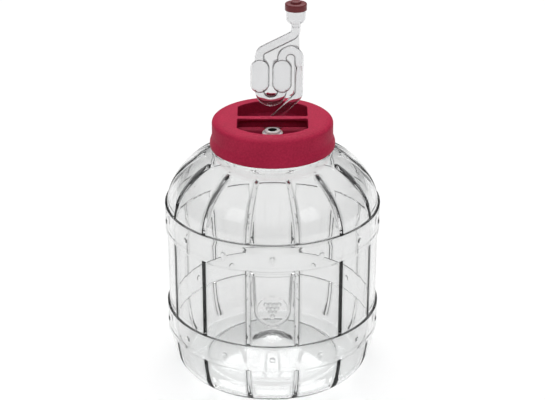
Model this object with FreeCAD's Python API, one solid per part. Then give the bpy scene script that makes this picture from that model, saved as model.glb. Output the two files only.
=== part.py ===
import FreeCAD, Part
import math
import os

# Wide-mouth glass fermenting jar shaped like a stave barrel, with a screw lid, two stoppers and an S airlock.
# All lengths are millimetres. The origin is the centre of the base, +Z is up, and the front panel faces -Y.

V = FreeCAD.Vector
UP = V(0, 0, 1)
AXIS = V(0, 0, 0)

# Jar walls
body_r = 110.4
wall = 5.5
foot_outer_r = 90.3
base_curve_top = 51.6
floor_thick = 5.5
punt_profile = ((0.0, 23.0), (10.0, 21.0), (22.0, 14.0), (66.0, 4.0), (70.0, 0.0))
shoulder_z = 182.8
shoulder_centre_r = 17.1
shoulder_rise = 68.4
neck_r = 59.0
rim_z = 273.3
rim_round = 1.5

# Moulded decoration on the jar
stave_count = 14
groove_width = 4.6
groove_lip_width = 0.25
groove_lip_depth = 1.1
groove_depth = 3.0
groove_clear = 1.0
groove_base_z = 6.0
groove_shoulder_end_r = 70.5
hoop_rise = 2.0
hoop_round = 0.4
lower_hoop = (45.1, 74.1)
upper_hoop = (159.7, 188.3)
rivet_r = 2.9
rivet_rise = 1.0
shield_top_z = 153.3
shield_top_half = 19.8
shield_side_half = 18.0
shield_round_z = 115.5
shield_depth = 1.2
medallion_r = 15.5
medallion_rise = 0.4
berry_r = 2.2
berry_rows = (4, 3, 2, 1)

# Screw thread shared by the neck and the lid
thread_lead = 6.0
thread_depth = 1.2
jar_thread_z = 258.5
jar_thread_turns = 1.05
jar_thread_root = 3.0
jar_thread_crest = 1.5
lid_thread_turns = 0.8
lid_thread_root = 2.2
lid_thread_crest = 1.2
thread_sink = 0.3

# Lid
lid_bottom_z = 250.0
lid_top_z = 279.9
lid_skirt_r = 64.4
lid_crown_r = 62.1
lid_step_low_z = 254.5
lid_step_high_z = 261.0
lid_bore_r = 60.6
lid_skirt_bore_r = 62.4
lid_bore_step_z = 252.4
lid_top_wall = 4.6
lid_edge_r = 10.8
lid_edge_z = 5.2
recess_half_x = 35.6
recess_arc_r = 46.0
recess_floor_z = 265.5
recess_wall = 2.5
bar_back_y = 3.1
bar_end_front_y = -4.0
bar_mid_front_y = -5.4
bar_end_thick = 4.0
bar_mid_thick = 2.0
rib_front_y = -1.0
rib_back_y = 1.5
rib_low_z = 268.8

# Seal between the rim and the lid
gasket_inner_r = 51.5
gasket_outer_r = 60.0

# Stoppers in the lid
stopper_y = 11.2
stopper_bore_r = 4.4
stopper_collar_r = 8.1
stopper_collar_z = 270.5
stopper_flange_r = 10.5
stopper_flange_z = 268.0
stopper_waist_r = 7.6
stopper_lip_r = 9.4
stopper_lip_drop = 3.5
stopper_fit = 0.05

# Airlock
stem_r = 4.35
stem_bottom_z = 240.0
stem_knee_z = 272.4
tube_r = 4.7
tube_wall = 0.9
left_x = -13.1
middle_x = 9.65
right_x = 26.9
bubble_r = 9.6
bubble_low_z = 302.7
bubble_high_z = 336.7
bubble_round = 7.5
u_bend_z = 303.7
crown_bend_z = 338.8
cup_x = 23.3
cup_r = 10.2
cup_neck_r = 5.0
cup_neck_z = 373.6
cup_side_z = 384.0
cup_rim_z = 395.7
cup_bulge_r = 8.9
cup_bulge_z = 377.5
elbow_r = 8.0
knee_r = 4.6
slope_low_z = 346.0
slope_high_z = 364.8
web_half = 0.8
web_low_z = 296.5
web_right_x = 27.0

# Airlock cap
cap_r = 11.0
cap_bore_r = 10.5
cap_low_z = 390.4
cap_top_z = 397.2
cap_boss_r = 5.4
cap_boss_z = 399.5
cap_round = 0.8

REACH = 150.0


def line(a, b):
    """Straight edge between two points."""
    return Part.LineSegment(a, b).toShape()


def arc(a, b, c):
    """Circular edge from a to c through b."""
    return Part.Arc(a, b, c).toShape()


def spin(edges):
    """Solid made by turning a closed outline in the XZ plane about the Z axis."""
    face = Part.Face(Part.Wire(edges))
    return face.revolve(AXIS, UP, 360)


def spin_points(points, x=0.0, y=0.0):
    """Solid made by turning a polygon of (radius, height) points about a vertical axis at x, y."""
    corners = [V(r, 0, z) for r, z in points]
    solid = spin([line(a, b) for a, b in zip(corners, corners[1:] + corners[:1])])
    solid.translate(V(x, y, 0))
    return solid


def ring(inner_r, outer_r, low, high):
    """Plain ring about the Z axis."""
    outer = Part.makeCylinder(outer_r, high - low, V(0, 0, low))
    return outer.cut(Part.makeCylinder(inner_r, high - low, V(0, 0, low)))


def ellipse_point(centre_r, centre_z, semi_r, semi_z, angle):
    """Point of an upright ellipse in the XZ plane, angle counted from its outermost point."""
    return V(centre_r + semi_r * math.cos(angle), 0, centre_z + semi_z * math.sin(angle))


def ellipse_edge(centre_r, centre_z, semi_r, semi_z, start, end):
    """Elliptic edge in the XZ plane between two angles, always listed from low to high."""
    outward = V(centre_r + semi_r, 0, centre_z)
    upward = V(centre_r, 0, centre_z + semi_z)
    if semi_r > semi_z:
        ellipse = Part.Ellipse(outward, upward, V(centre_r, 0, centre_z))
        return Part.ArcOfEllipse(ellipse, start, end).toShape()
    ellipse = Part.Ellipse(upward, V(centre_r - semi_r, 0, centre_z), V(centre_r, 0, centre_z))
    return Part.ArcOfEllipse(ellipse, start - math.pi / 2, end - math.pi / 2).toShape()


def dome_angle(semi_r, reach_r):
    """Angle on the shoulder ellipse where its radius is reach_r."""
    return math.acos((reach_r - shoulder_centre_r) / semi_r)


def shell_outline(inset, end_r, foot_z):
    """Outer curve of the jar, moved inward by inset, from foot_z up to radius end_r: edges and end points."""
    semi_r = body_r - inset - shoulder_centre_r
    semi_z = shoulder_rise - inset
    base_r = body_r - inset - foot_outer_r
    base_z = base_curve_top - inset
    base_start = -math.asin(min(1, (base_curve_top - foot_z) / base_z))
    dome_end = dome_angle(semi_r, end_r)
    edges = [
        ellipse_edge(foot_outer_r, base_curve_top, base_r, base_z, base_start, 0),
        line(V(body_r - inset, 0, base_curve_top), V(body_r - inset, 0, shoulder_z)),
        ellipse_edge(shoulder_centre_r, shoulder_z, semi_r, semi_z, 0, dome_end),
    ]
    start = ellipse_point(foot_outer_r, base_curve_top, base_r, base_z, base_start)
    end = ellipse_point(shoulder_centre_r, shoulder_z, semi_r, semi_z, dome_end)
    return edges, start, end


def plain_jar():
    """Glass wall of the jar without decoration or thread."""
    outer, _, root = shell_outline(0, neck_r, 0)
    mouth_r = neck_r - wall
    inner_semi_r = body_r - wall - shoulder_centre_r
    inner_semi_z = shoulder_rise - wall
    inner_end = dome_angle(inner_semi_r, mouth_r)
    inner_root = ellipse_point(shoulder_centre_r, shoulder_z, inner_semi_r, inner_semi_z, inner_end)
    inner_r = body_r - wall
    rim_side = V(neck_r, 0, rim_z - rim_round)
    rim_top = V(neck_r - rim_round, 0, rim_z)
    rim_mid = rim_round * (1 - math.sqrt(0.5))
    corner_r = inner_r - foot_outer_r
    corner_z = base_curve_top - floor_thick
    inner_base = ellipse_edge(foot_outer_r, base_curve_top, corner_r, corner_z, -math.pi / 2, 0)
    under = [V(r, 0, z) for r, z in punt_profile] + [V(foot_outer_r, 0, 0)]
    floor = [point + V(0, 0, floor_thick) for point in under]
    edges = [
        *[line(a, b) for a, b in zip(under, under[1:])],
        *outer,
        line(root, rim_side),
        arc(rim_side, V(neck_r - rim_mid, 0, rim_z - rim_mid), rim_top),
        line(rim_top, V(mouth_r, 0, rim_z)),
        line(V(mouth_r, 0, rim_z), inner_root),
        ellipse_edge(shoulder_centre_r, shoulder_z, inner_semi_r, inner_semi_z, 0, inner_end),
        line(V(inner_r, 0, shoulder_z), V(inner_r, 0, base_curve_top)),
        inner_base,
        *[line(a, b) for a, b in zip(floor, floor[1:])],
        line(floor[0], under[0]),
    ]
    return spin(Part.__sortEdges__(edges))


def stave_groove():
    """One V-shaped groove that follows the outer curve of the jar in the XZ plane, as a solid to cut away."""
    edges, start, _ = shell_outline(0, groove_shoulder_end_r, groove_base_z)
    path = Part.Wire(Part.__sortEdges__(edges))
    along = (edges[0].valueAt(edges[0].FirstParameter + 0.01) - start).normalize()
    outward = V(along.z, 0, -along.x)
    half = groove_width / 2
    lip_half = half - groove_lip_width
    section = [
        (-half, groove_clear),
        (-half, 0),
        (-lip_half, -groove_lip_depth),
        (0, -groove_depth),
        (lip_half, -groove_lip_depth),
        (half, 0),
        (half, groove_clear),
    ]
    points = [start + V(0, across, 0) + outward * height for across, height in section]
    profile = Part.Wire([line(a, b) for a, b in zip(points, points[1:] + points[:1])])
    return path.makePipeShell([profile], True, False)


def stave_grooves():
    """All grooves between the staves, each half a stave away from the front."""
    grooves = []
    for i in range(stave_count):
        groove = stave_groove()
        groove.rotate(AXIS, UP, -90 + (i + 0.5) * 360 / stave_count)
        grooves.append(groove)
    return grooves


def hoop(low, high):
    """Flat moulded band around the staves, with eased edges."""
    band = ring(body_r - (groove_depth + wall) / 2, body_r + hoop_rise, low, high)
    outer_edges = [e for e in band.Edges if isinstance(e.Curve, Part.Circle) and e.Curve.Radius > body_r]
    return band.makeFillet(hoop_round, outer_edges)


def rivets(low, high):
    """Small domed rivet heads on one hoop, one in the middle of each stave."""
    sphere_r = (rivet_r ** 2 + rivet_rise ** 2) / (2 * rivet_rise)
    reach = body_r + hoop_rise + rivet_rise - sphere_r
    staves = Part.makeCylinder(body_r, high - low, V(0, 0, low))
    heads = []
    for i in range(stave_count):
        angle = math.radians(-90 + i * 360 / stave_count)
        centre = V(reach * math.cos(angle), reach * math.sin(angle), (low + high) / 2)
        heads.append(Part.makeSphere(sphere_r, centre).cut(staves))
    return heads


def shield_plan():
    """Outline of the front shield as a face in the XZ plane: straight sides and a round foot."""
    top_left = V(-shield_top_half, 0, shield_top_z)
    top_right = V(shield_top_half, 0, shield_top_z)
    low_left = V(-shield_side_half, 0, shield_round_z)
    low_right = V(shield_side_half, 0, shield_round_z)
    foot = V(0, 0, shield_round_z - shield_side_half)
    edges = [
        line(top_left, top_right),
        line(top_right, low_right),
        arc(low_right, foot, low_left),
        line(low_left, top_left),
    ]
    return Part.Face(Part.Wire(edges))


def shield_recess():
    """Shallow shield-shaped pocket in the front stave."""
    skin = ring(body_r - shield_depth, body_r + shield_depth, shield_round_z - REACH / 2, shield_top_z + 1)
    return skin.common(shield_plan().extrude(V(0, -REACH, 0)))


def medallion():
    """Round badge in the shield with a plain bunch of berries on it."""
    floor_r = body_r - shield_depth
    skin = ring(floor_r - 1, floor_r + medallion_rise, shield_round_z - REACH / 2, shield_top_z)
    pieces = [skin.common(Part.makeCylinder(medallion_r, REACH, V(0, 0, shield_round_z), V(0, -1, 0)))]
    pitch = 2 * berry_r
    top_z = shield_round_z + pitch * (len(berry_rows) - 1) / 2
    for row, count in enumerate(berry_rows):
        for k in range(count):
            x = (k - (count - 1) / 2) * pitch
            y = -math.sqrt((floor_r - berry_r / 3) ** 2 - x ** 2)
            pieces.append(Part.makeSphere(berry_r, V(x, y, top_z - row * pitch)))
    return pieces


def helix_ridge(radius, outward, root, crest, low_z, turns):
    """Screw ridge on a cylinder, standing outward when outward is 1 and inward when it is -1."""
    path = Part.makeHelix(thread_lead, thread_lead * turns, radius)
    base = radius - outward * thread_sink
    tip = radius + outward * thread_depth
    points = [V(base, 0, -root / 2), V(base, 0, root / 2), V(tip, 0, crest / 2), V(tip, 0, -crest / 2)]
    profile = Part.Wire([line(a, b) for a, b in zip(points, points[1:] + points[:1])])
    sweep = Part.Wire(path.Edges).makePipeShell([profile], True, True)
    sweep.translate(V(0, 0, low_z))
    return sweep


def glass_jar():
    """The whole jar in one piece of glass."""
    jar = plain_jar().cut(stave_grooves())
    additions = []
    for low, high in (lower_hoop, upper_hoop):
        additions.append(hoop(low, high))
        additions.extend(rivets(low, high))
    jar = jar.cut(shield_recess())
    jar = jar.fuse(additions + medallion())
    return jar.fuse(helix_ridge(neck_r, 1, jar_thread_root, jar_thread_crest, jar_thread_z, jar_thread_turns))


def recess_outline(grow, z):
    """Plan of the lid recess, enlarged by grow: two straight sides, and bowed front and back."""
    half_x = recess_half_x + grow
    apex_y = recess_arc_r + grow
    corner_y = math.sqrt(apex_y ** 2 - half_x ** 2)
    edges = [
        line(V(half_x, -corner_y, z), V(half_x, corner_y, z)),
        arc(V(half_x, corner_y, z), V(0, apex_y, z), V(-half_x, corner_y, z)),
        line(V(-half_x, corner_y, z), V(-half_x, -corner_y, z)),
        arc(V(-half_x, -corner_y, z), V(0, -apex_y, z), V(half_x, -corner_y, z)),
    ]
    return Part.Face(Part.Wire(edges))


def lid_cap():
    """Turned crown and skirt of the lid, hollow below, with a soft elliptic edge around the top."""
    edge_foot_z = lid_top_z - lid_edge_z
    under_z = lid_top_z - lid_top_wall
    points = [
        (lid_crown_r, edge_foot_z),
        (lid_crown_r, lid_step_high_z),
        (lid_skirt_r, lid_step_low_z),
        (lid_skirt_r, lid_bottom_z),
        (lid_skirt_bore_r, lid_bottom_z),
        (lid_skirt_bore_r, lid_bore_step_z),
        (lid_bore_r, lid_bore_step_z + lid_skirt_bore_r - lid_bore_r),
        (lid_bore_r, under_z),
        (0, under_z),
        (0, lid_top_z),
        (lid_crown_r - lid_edge_r, lid_top_z),
    ]
    corners = [V(r, 0, z) for r, z in points]
    edges = [line(a, b) for a, b in zip(corners, corners[1:])]
    edges.append(ellipse_edge(lid_crown_r - lid_edge_r, edge_foot_z, lid_edge_r, lid_edge_z, 0, math.pi / 2))
    return spin(Part.__sortEdges__(edges))


def circles_at(solid, radius, z):
    """Round edges of a solid with the given radius and height."""
    found = []
    for edge in solid.Edges:
        if isinstance(edge.Curve, Part.Circle):
            if abs(edge.Curve.Radius - radius) < 0.01 and abs(edge.Curve.Center.z - z) < 0.01:
                found.append(edge)
    return found


def grip_bar():
    """Finger bar across the recess: bowed forward in plan, thinner in the middle."""
    end_x = recess_half_x + recess_wall / 2
    back_left = V(-end_x, bar_back_y, lid_top_z)
    back_right = V(end_x, bar_back_y, lid_top_z)
    front_right = V(end_x, bar_end_front_y, lid_top_z)
    front_left = V(-end_x, bar_end_front_y, lid_top_z)
    plan = Part.Face(Part.Wire([
        line(back_left, back_right),
        line(back_right, front_right),
        arc(front_right, V(0, bar_mid_front_y, lid_top_z), front_left),
        line(front_left, back_left),
    ]))
    low_left = V(-end_x, 0, lid_top_z - bar_end_thick)
    low_right = V(end_x, 0, lid_top_z - bar_end_thick)
    front = Part.Face(Part.Wire([
        line(V(-end_x, 0, lid_top_z), V(end_x, 0, lid_top_z)),
        line(V(end_x, 0, lid_top_z), low_right),
        arc(low_right, V(0, 0, lid_top_z - bar_mid_thick), low_left),
        line(low_left, V(-end_x, 0, lid_top_z)),
    ]))
    front.translate(V(0, -recess_half_x, 0))
    block = front.extrude(V(0, 2 * recess_half_x, 0))
    return block.common(plan.extrude(V(0, 0, -2 * bar_end_thick)))


def screw_lid():
    """Screw lid with its finger recess, grip bar, two stopper holes and inner thread."""
    pocket_depth = lid_top_z - recess_floor_z
    lid = lid_cap()
    lid = lid.fuse(recess_outline(recess_wall, recess_floor_z - recess_wall).extrude(V(0, 0, pocket_depth)))
    lid = lid.cut(recess_outline(0, recess_floor_z).extrude(V(0, 0, 2 * pocket_depth)))
    rib_half_x = recess_half_x + recess_wall / 2
    rib_height = lid_top_z - bar_mid_thick / 2 - rib_low_z
    rib_corner = V(-rib_half_x, rib_front_y, rib_low_z)
    rib = Part.makeBox(2 * rib_half_x, rib_back_y - rib_front_y, rib_height, rib_corner)
    lid = lid.fuse([grip_bar(), rib])
    hole_r = stopper_waist_r + stopper_fit
    for y in (-stopper_y, stopper_y):
        lid = lid.cut(Part.makeCylinder(hole_r, 2 * recess_wall, V(0, y, recess_floor_z - 1.5 * recess_wall)))
    low_z = jar_thread_z - thread_lead / 2
    return lid.fuse(helix_ridge(lid_bore_r, -1, lid_thread_root, lid_thread_crest, low_z, lid_thread_turns))


def lid_gasket():
    """Flat sealing ring between the jar's rim and the lid."""
    return ring(gasket_inner_r, gasket_outer_r, rim_z, lid_top_z - lid_top_wall)


def stopper(y):
    """Rubber stopper ring: a waist in the lid's hole between a flange and a lip."""
    plate_low = recess_floor_z - recess_wall
    points = [
        (stopper_bore_r, plate_low - stopper_lip_drop),
        (stopper_waist_r, plate_low - stopper_lip_drop),
        (stopper_lip_r, plate_low - stopper_fit),
        (stopper_waist_r, plate_low - stopper_fit),
        (stopper_waist_r, recess_floor_z + stopper_fit),
        (stopper_flange_r, recess_floor_z + stopper_fit),
        (stopper_flange_r, stopper_flange_z - 1),
        (stopper_flange_r - 1, stopper_flange_z),
        (stopper_collar_r, stopper_flange_z),
        (stopper_collar_r, stopper_collar_z - 1),
        (stopper_collar_r - 1, stopper_collar_z),
        (stopper_bore_r, stopper_collar_z),
    ]
    return spin_points(points, 0, y)


def bent_tube(corners, bend_radii, radius):
    """Round rod along a path in the airlock's plane, with an arc of the given radius at each inner corner."""
    points = [V(x, stopper_y, z) for x, z in corners]
    edges = []
    start = points[0]
    for i, bend in enumerate(bend_radii):
        before = (points[i] - points[i + 1]).normalize()
        after = (points[i + 2] - points[i + 1]).normalize()
        half = before.getAngle(after) / 2
        setback = bend / math.tan(half)
        middle_way = (before + after).normalize()
        enter = points[i + 1] + before * setback
        leave = points[i + 1] + after * setback
        middle = points[i + 1] + middle_way * (bend / math.sin(half) - bend)
        edges.append(line(start, enter))
        edges.append(arc(enter, middle, leave))
        start = leave
    edges.append(line(start, points[-1]))
    path = Part.Wire(edges)
    section = Part.Wire(Part.makeCircle(radius, points[0], points[1] - points[0]))
    return path.makePipeShell([section], True, False)


def bubble(x, inset):
    """Rounded chamber of the airlock, inset by the wall for its hollow."""
    height = bubble_high_z - bubble_low_z - 2 * inset
    pill = Part.makeCylinder(bubble_r - inset, height, V(x, stopper_y, bubble_low_z + inset))
    ends = circles_at(pill, bubble_r - inset, bubble_low_z + inset)
    ends += circles_at(pill, bubble_r - inset, bubble_high_z - inset)
    return pill.makeFillet(bubble_round - inset, ends)


def cup(inset):
    """Open cup at the top of the airlock, narrowing to its neck; inset gives its hollow."""
    top = V(cup_r - inset, 0, cup_rim_z)
    side = V(cup_r - inset, 0, cup_side_z)
    bulge = V(cup_bulge_r - inset, 0, cup_bulge_z + inset / 2)
    neck = V(cup_neck_r - inset, 0, cup_neck_z)
    solid = spin([
        line(V(0, 0, cup_rim_z), top),
        line(top, side),
        arc(side, bulge, neck),
        line(neck, V(0, 0, cup_neck_z)),
        line(V(0, 0, cup_neck_z), V(0, 0, cup_rim_z)),
    ])
    solid.translate(V(cup_x, stopper_y, 0))
    return solid


def u_tube(x_from, x_to, bend_z, end_z, side, radius):
    """Round rod from end_z to a half-circle bend at bend_z and back; side is 1 for a bend on top."""
    middle_x_of_bend = (x_from + x_to) / 2
    bend_r = (x_to - x_from) / 2
    foot = V(x_from, stopper_y, end_z)
    enter = V(x_from, stopper_y, bend_z)
    apex = V(middle_x_of_bend, stopper_y, bend_z + side * bend_r)
    leave = V(x_to, stopper_y, bend_z)
    edges = [line(foot, enter), arc(enter, apex, leave), line(leave, V(x_to, stopper_y, end_z))]
    section = Part.Wire(Part.makeCircle(radius, foot, enter - foot))
    return Part.Wire(edges).makePipeShell([section], True, False)


def airlock_rods(inset):
    """Everything round in the airlock: its outside when inset is 0, its hollow when inset is the wall."""
    inside_low = bubble_low_z + tube_wall + tube_r
    inside_high = bubble_high_z - tube_wall - tube_r
    down = bent_tube(
        [(cup_x, cup_neck_z + 1), (cup_x, slope_high_z), (left_x, slope_low_z), (left_x, inside_high)],
        [elbow_r, elbow_r], tube_r - inset)
    bottom = u_tube(left_x, middle_x, u_bend_z, inside_low, -1, tube_r - inset)
    crown = u_tube(middle_x, right_x, crown_bend_z, inside_high, 1, tube_r - inset)
    knee_top_z = stem_knee_z + right_x
    leg = bent_tube(
        [(right_x, inside_high), (right_x, knee_top_z), (0, stem_knee_z), (0, stem_bottom_z - inset)],
        [elbow_r, knee_r], stem_r - inset)
    return [down, bottom, crown, leg, bubble(left_x, inset), bubble(middle_x, inset), cup(inset)]


def web():
    """Flat plate that ties the airlock's tubes together."""
    corners = [
        (left_x, web_low_z),
        (left_x, slope_low_z),
        (cup_x, slope_high_z),
        (web_right_x, slope_high_z),
        (web_right_x, web_low_z + tube_r),
        (cup_x - tube_r, web_low_z),
    ]
    points = [V(x, stopper_y - web_half, z) for x, z in corners]
    outline = Part.Wire([line(a, b) for a, b in zip(points, points[1:] + points[:1])])
    return Part.Face(outline).extrude(V(0, 2 * web_half, 0))


def airlock_halves():
    """Front and back shells of the airlock, split on its flat middle plane."""
    rods = airlock_rods(0)
    body = rods[0].fuse(rods[1:] + [web()])
    hollow = airlock_rods(tube_wall)
    body = body.cut(hollow[0].fuse(hollow[1:]))
    low_z = stem_bottom_z - REACH
    front_box = Part.makeBox(2 * REACH, REACH, 3 * REACH, V(-REACH, stopper_y - REACH, low_z))
    back_box = Part.makeBox(2 * REACH, REACH, 3 * REACH, V(-REACH, stopper_y, low_z))
    return body.common(front_box), body.common(back_box)


def airlock_cap():
    """Dust cap that drops loosely over the airlock's cup."""
    points = [
        (0, cap_boss_z),
        (cap_boss_r, cap_boss_z),
        (cap_boss_r, cap_top_z),
        (cap_r, cap_top_z),
        (cap_r, cap_low_z),
        (cap_bore_r, cap_low_z),
        (cap_bore_r, cup_rim_z),
        (0, cup_rim_z),
    ]
    cap = spin_points(points)
    top_edges = circles_at(cap, cap_r, cap_top_z) + circles_at(cap, cap_boss_r, cap_boss_z)
    cap = cap.makeFillet(cap_round, top_edges)
    cap.translate(V(cup_x, stopper_y, 0))
    return cap


def save(name, shape):
    """Write one sub-part."""
    shape.removeSplitter().exportStep("parts/" + name + ".step")


os.makedirs("parts", exist_ok=True)
front_half, back_half = airlock_halves()
save("glass_jar", glass_jar())
save("lid_gasket", lid_gasket())
save("screw_lid", screw_lid())
save("front_stopper", stopper(-stopper_y))
save("rear_stopper", stopper(stopper_y))
save("airlock_front_half", front_half)
save("airlock_back_half", back_half)
save("airlock_cap", airlock_cap())
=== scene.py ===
import bpy
import math
import numpy as np
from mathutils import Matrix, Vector


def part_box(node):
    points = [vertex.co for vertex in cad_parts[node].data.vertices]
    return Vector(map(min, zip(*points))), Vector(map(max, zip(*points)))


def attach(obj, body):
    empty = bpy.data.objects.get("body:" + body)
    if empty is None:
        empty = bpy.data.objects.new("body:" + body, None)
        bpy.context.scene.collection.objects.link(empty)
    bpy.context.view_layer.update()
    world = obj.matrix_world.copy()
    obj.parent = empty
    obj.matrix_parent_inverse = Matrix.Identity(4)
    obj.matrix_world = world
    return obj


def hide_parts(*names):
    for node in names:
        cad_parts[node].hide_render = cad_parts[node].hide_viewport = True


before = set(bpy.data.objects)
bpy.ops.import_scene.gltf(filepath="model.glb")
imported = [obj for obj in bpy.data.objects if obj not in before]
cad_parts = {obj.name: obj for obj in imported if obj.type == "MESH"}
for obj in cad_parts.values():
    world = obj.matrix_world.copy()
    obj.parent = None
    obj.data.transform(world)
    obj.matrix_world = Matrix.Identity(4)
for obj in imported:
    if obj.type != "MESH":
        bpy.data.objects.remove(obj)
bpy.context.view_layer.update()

# Lengths in the named values below are millimetres; MM turns them into the frame's metres.
MM = 0.001

_, jar_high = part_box("glass_jar")
lid_low, lid_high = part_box("screw_lid")
gasket_low, gasket_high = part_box("lid_gasket")
rear_low, rear_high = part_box("rear_stopper")
cap_low, cap_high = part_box("airlock_cap")
lock_low, lock_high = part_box("airlock_front_half")

# Jar
RIM_Z = jar_high.z / MM
HOOP_R = jar_high.x / MM
HOOP_RISE = 2.0
BODY_R = HOOP_R - HOOP_RISE
WALL = 5.5
FOOT_OUTER_R = 90.3
BASE_TOP = 51.6
PUNT_CURVE = ((70.0, 0.0), (66.0, 4.0), (22.0, 14.0), (10.0, 21.0), (0.0, 23.0))
FLOOR_THICK = 5.5
SHOULDER_Z = 182.8
SHOULDER_R = 17.1
SHOULDER_RISE = 68.4
NECK_R = 59.0
RIM_ROUND = 1.5
STAVES = 14
GROOVE_W = 4.8
GROOVE_LIP = 1.1
GROOVE_LIP_W = 0.25
GROOVE_D = 3.0
GROOVE_LOW_Z = 6.0
GROOVE_TOP_R = 70.5
HOOPS = ((45.1, 74.1), (159.7, 188.3))
HOOP_SOFT = 1.0
RIVET_R = 2.9
RIVET_RISE = 1.0
SHIELD_TOP_Z = 153.3
SHIELD_TOP_HALF = 19.8
SHIELD_HALF = 18.0
SHIELD_ROUND_Z = 115.5
SHIELD_D = 1.2
MEDALLION_R = 15.5
MEDALLION_RISE = 0.35
BERRY_R = 2.2
BERRY_RISE = 1.3
MOAT_W = 2.4
MOAT_D = 1.3
BERRY_ROWS = (4, 3, 2, 1)

# Painted shade along the glass's edges, standing in for the dark lines that refraction draws there: its
# strength, and how wide it is
HOOP_TOP_SHADE = (0.92, 0.70)
HOOP_LOW_SHADE = (0.62, 0.45)
RIVET_SHADE = (0.75, 0.42)
GROOVE_SHADE = (0.85, 0.42)
SHIELD_SHADE = (0.88, 0.55)
MOAT_SHADE = (0.88, 0.75)
MEDALLION_SHADE = (0.30, 0.50)
BERRY_SHADE = (0.75, 0.42)

# Clear materials: the pale tint belongs to the jar's foot, and densities are per metre
GLASS_IOR = 1.5
CLEAR_PLASTIC_IOR = 1.2
PALE_TINT = (0.885, 0.888, 0.888, 1)
PALE_FROM_TO_Z = (40, 90)
# Colour of the painted shade along the glass's edges
PAINTED_EDGE_SHADE = (0.03, 0.031, 0.031, 1)
ABSORPTION_COLOUR = (0.32, 0.34, 0.335, 1)
GLASS_DENSITY = 5.0
CLEAR_PLASTIC_DENSITY = 50.0

# Screw thread
LEAD = 6.0
THREAD_D = 1.2
THREAD_Z = 258.5
THREAD_TURNS = 1.05
THREAD_HALF = 1.5
LID_THREAD_TURNS = 0.8

# Lid
LID_LOW = lid_low.z / MM
LID_TOP = lid_high.z / MM
LID_SKIRT_R = lid_high.x / MM
LID_CROWN_R = 62.1
LID_EDGE_R = 10.8
LID_EDGE_Z = 5.2
LID_STEP_LOW = 254.5
LID_STEP_HIGH = 261.0
LID_BORE_R = 60.6
LID_SKIRT_BORE_R = 62.4
LID_TOP_WALL = 4.6
RECESS_HALF_X = 35.6
RECESS_R = 46.0
RECESS_FLOOR = 265.5
RECESS_WALL = 2.5
BAR_BACK_Y = 3.1
BAR_END_FRONT_Y = -4.0
BAR_MID_FRONT_Y = -5.4
BAR_END_THICK = 4.0
BAR_MID_THICK = 2.0
BAR_WEB_Y = (-1.0, 1.5)
BAR_WEB_LOW = 268.8

# Stoppers
STOPPER_Y = (rear_low.y + rear_high.y) / 2 / MM
STOPPER_TOP = rear_high.z / MM
STOPPER_BORE_R = 4.4
STOPPER_COLLAR_R = 8.1
STOPPER_FLANGE_R = rear_high.x / MM
STOPPER_FLANGE_Z = 268.0
STOPPER_WAIST_R = 7.6
STOPPER_LIP_R = 9.4

# Airlock
STEM_R = 4.35
STEM_LOW = lock_low.z / MM
STEM_KNEE_Z = 272.4
TUBE_R = 4.7
TUBE_WALL = 0.9
LEFT_X = -13.1
MIDDLE_X = 9.65
RIGHT_X = 26.9
BUBBLE_R = 9.6
BUBBLE_LOW = 302.7
BUBBLE_HIGH = 336.7
BUBBLE_ROUND = 8.4
U_BEND_Z = 303.7
CROWN_BEND_Z = 338.8
CUP_X = (cap_low.x + cap_high.x) / 2 / MM
CUP_R = 10.2
CUP_NECK_R = 5.0
CUP_NECK_Z = 375.4
CUP_RIM_Z = lock_high.z / MM
ELBOW_R = 8.0
KNEE_R = 4.6
SLOPE_LOW_Z = 346.0
SLOPE_HIGH_Z = 364.8
WEB_HALF = 0.8
WEB_LOW_Z = 296.5

# Airlock cap
CAP_R = (cap_high.x - cap_low.x) / 2 / MM
CAP_BORE_R = 10.5
CAP_LOW = cap_low.z / MM
CAP_TOP = 397.2
CAP_BOSS_R = 5.4
CAP_BOSS_Z = cap_high.z / MM

# Camera: its angle above level, its distance in metres from the point that it looks at, and that point's height
VIEW_ELEVATION = math.radians(25.0)
VIEW_DISTANCE = 1.595
VIEW_HEIGHT = 0.1864
LENS = 100.8
SENSOR_WIDTH = 36.0

# Light: the dome, the sun behind the jar (degrees above level, power, spread in degrees), and the soft boxes
# (watts, and metres across)
DOME_STRENGTH = 0.98
KEY_ELEVATION = 52
KEY_POWER = 1.5
KEY_SPREAD = 40
SOFTBOX_POWER = 3
SOFTBOX_SIZE = (0.9, 1.1)


# ---------------------------------------------------------------- mesh helpers

def mesh_object(name, verts, faces):
    """New smooth-shaded object from points in millimetres."""
    mesh = bpy.data.meshes.new(name)
    mesh.from_pydata((np.asarray(verts, float) * MM).tolist(), [], faces)
    mesh.validate()
    mesh.shade_smooth()
    obj = bpy.data.objects.new(name, mesh)
    bpy.context.scene.collection.objects.link(obj)
    return obj


def grid_faces(rows, columns, start=0):
    """Quads between consecutive rows of a grid that closes on itself along its columns."""
    faces = []
    for i in range(rows - 1):
        a = start + i * columns
        b = a + columns
        for j in range(columns):
            k = (j + 1) % columns
            faces.append((a + j, a + k, b + k, b + j))
    return faces


def lathe(name, profile, x=0.0, y=0.0, segments=96):
    """Closed turned solid from a (radius, height) profile with its ends on the axis, or from a closed ring."""
    closed = profile[0][0] > 0
    points = [p for p in profile if p[0] > 0]
    angles = np.linspace(0, 2 * math.pi, segments, endpoint=False)
    verts = [(x + r * math.cos(a), y + r * math.sin(a), z) for r, z in points for a in angles]
    faces = grid_faces(len(points), segments)
    last = (len(points) - 1) * segments
    if closed:
        for j in range(segments):
            k = (j + 1) % segments
            faces.append((last + j, last + k, k, j))
    else:
        verts += [(x, y, profile[0][1]), (x, y, profile[-1][1])]
        first_pole = len(points) * segments
        for j in range(segments):
            k = (j + 1) % segments
            faces.append((first_pole, k, j))
            faces.append((first_pole + 1, last + j, last + k))
    return mesh_object(name, verts, faces)


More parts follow.
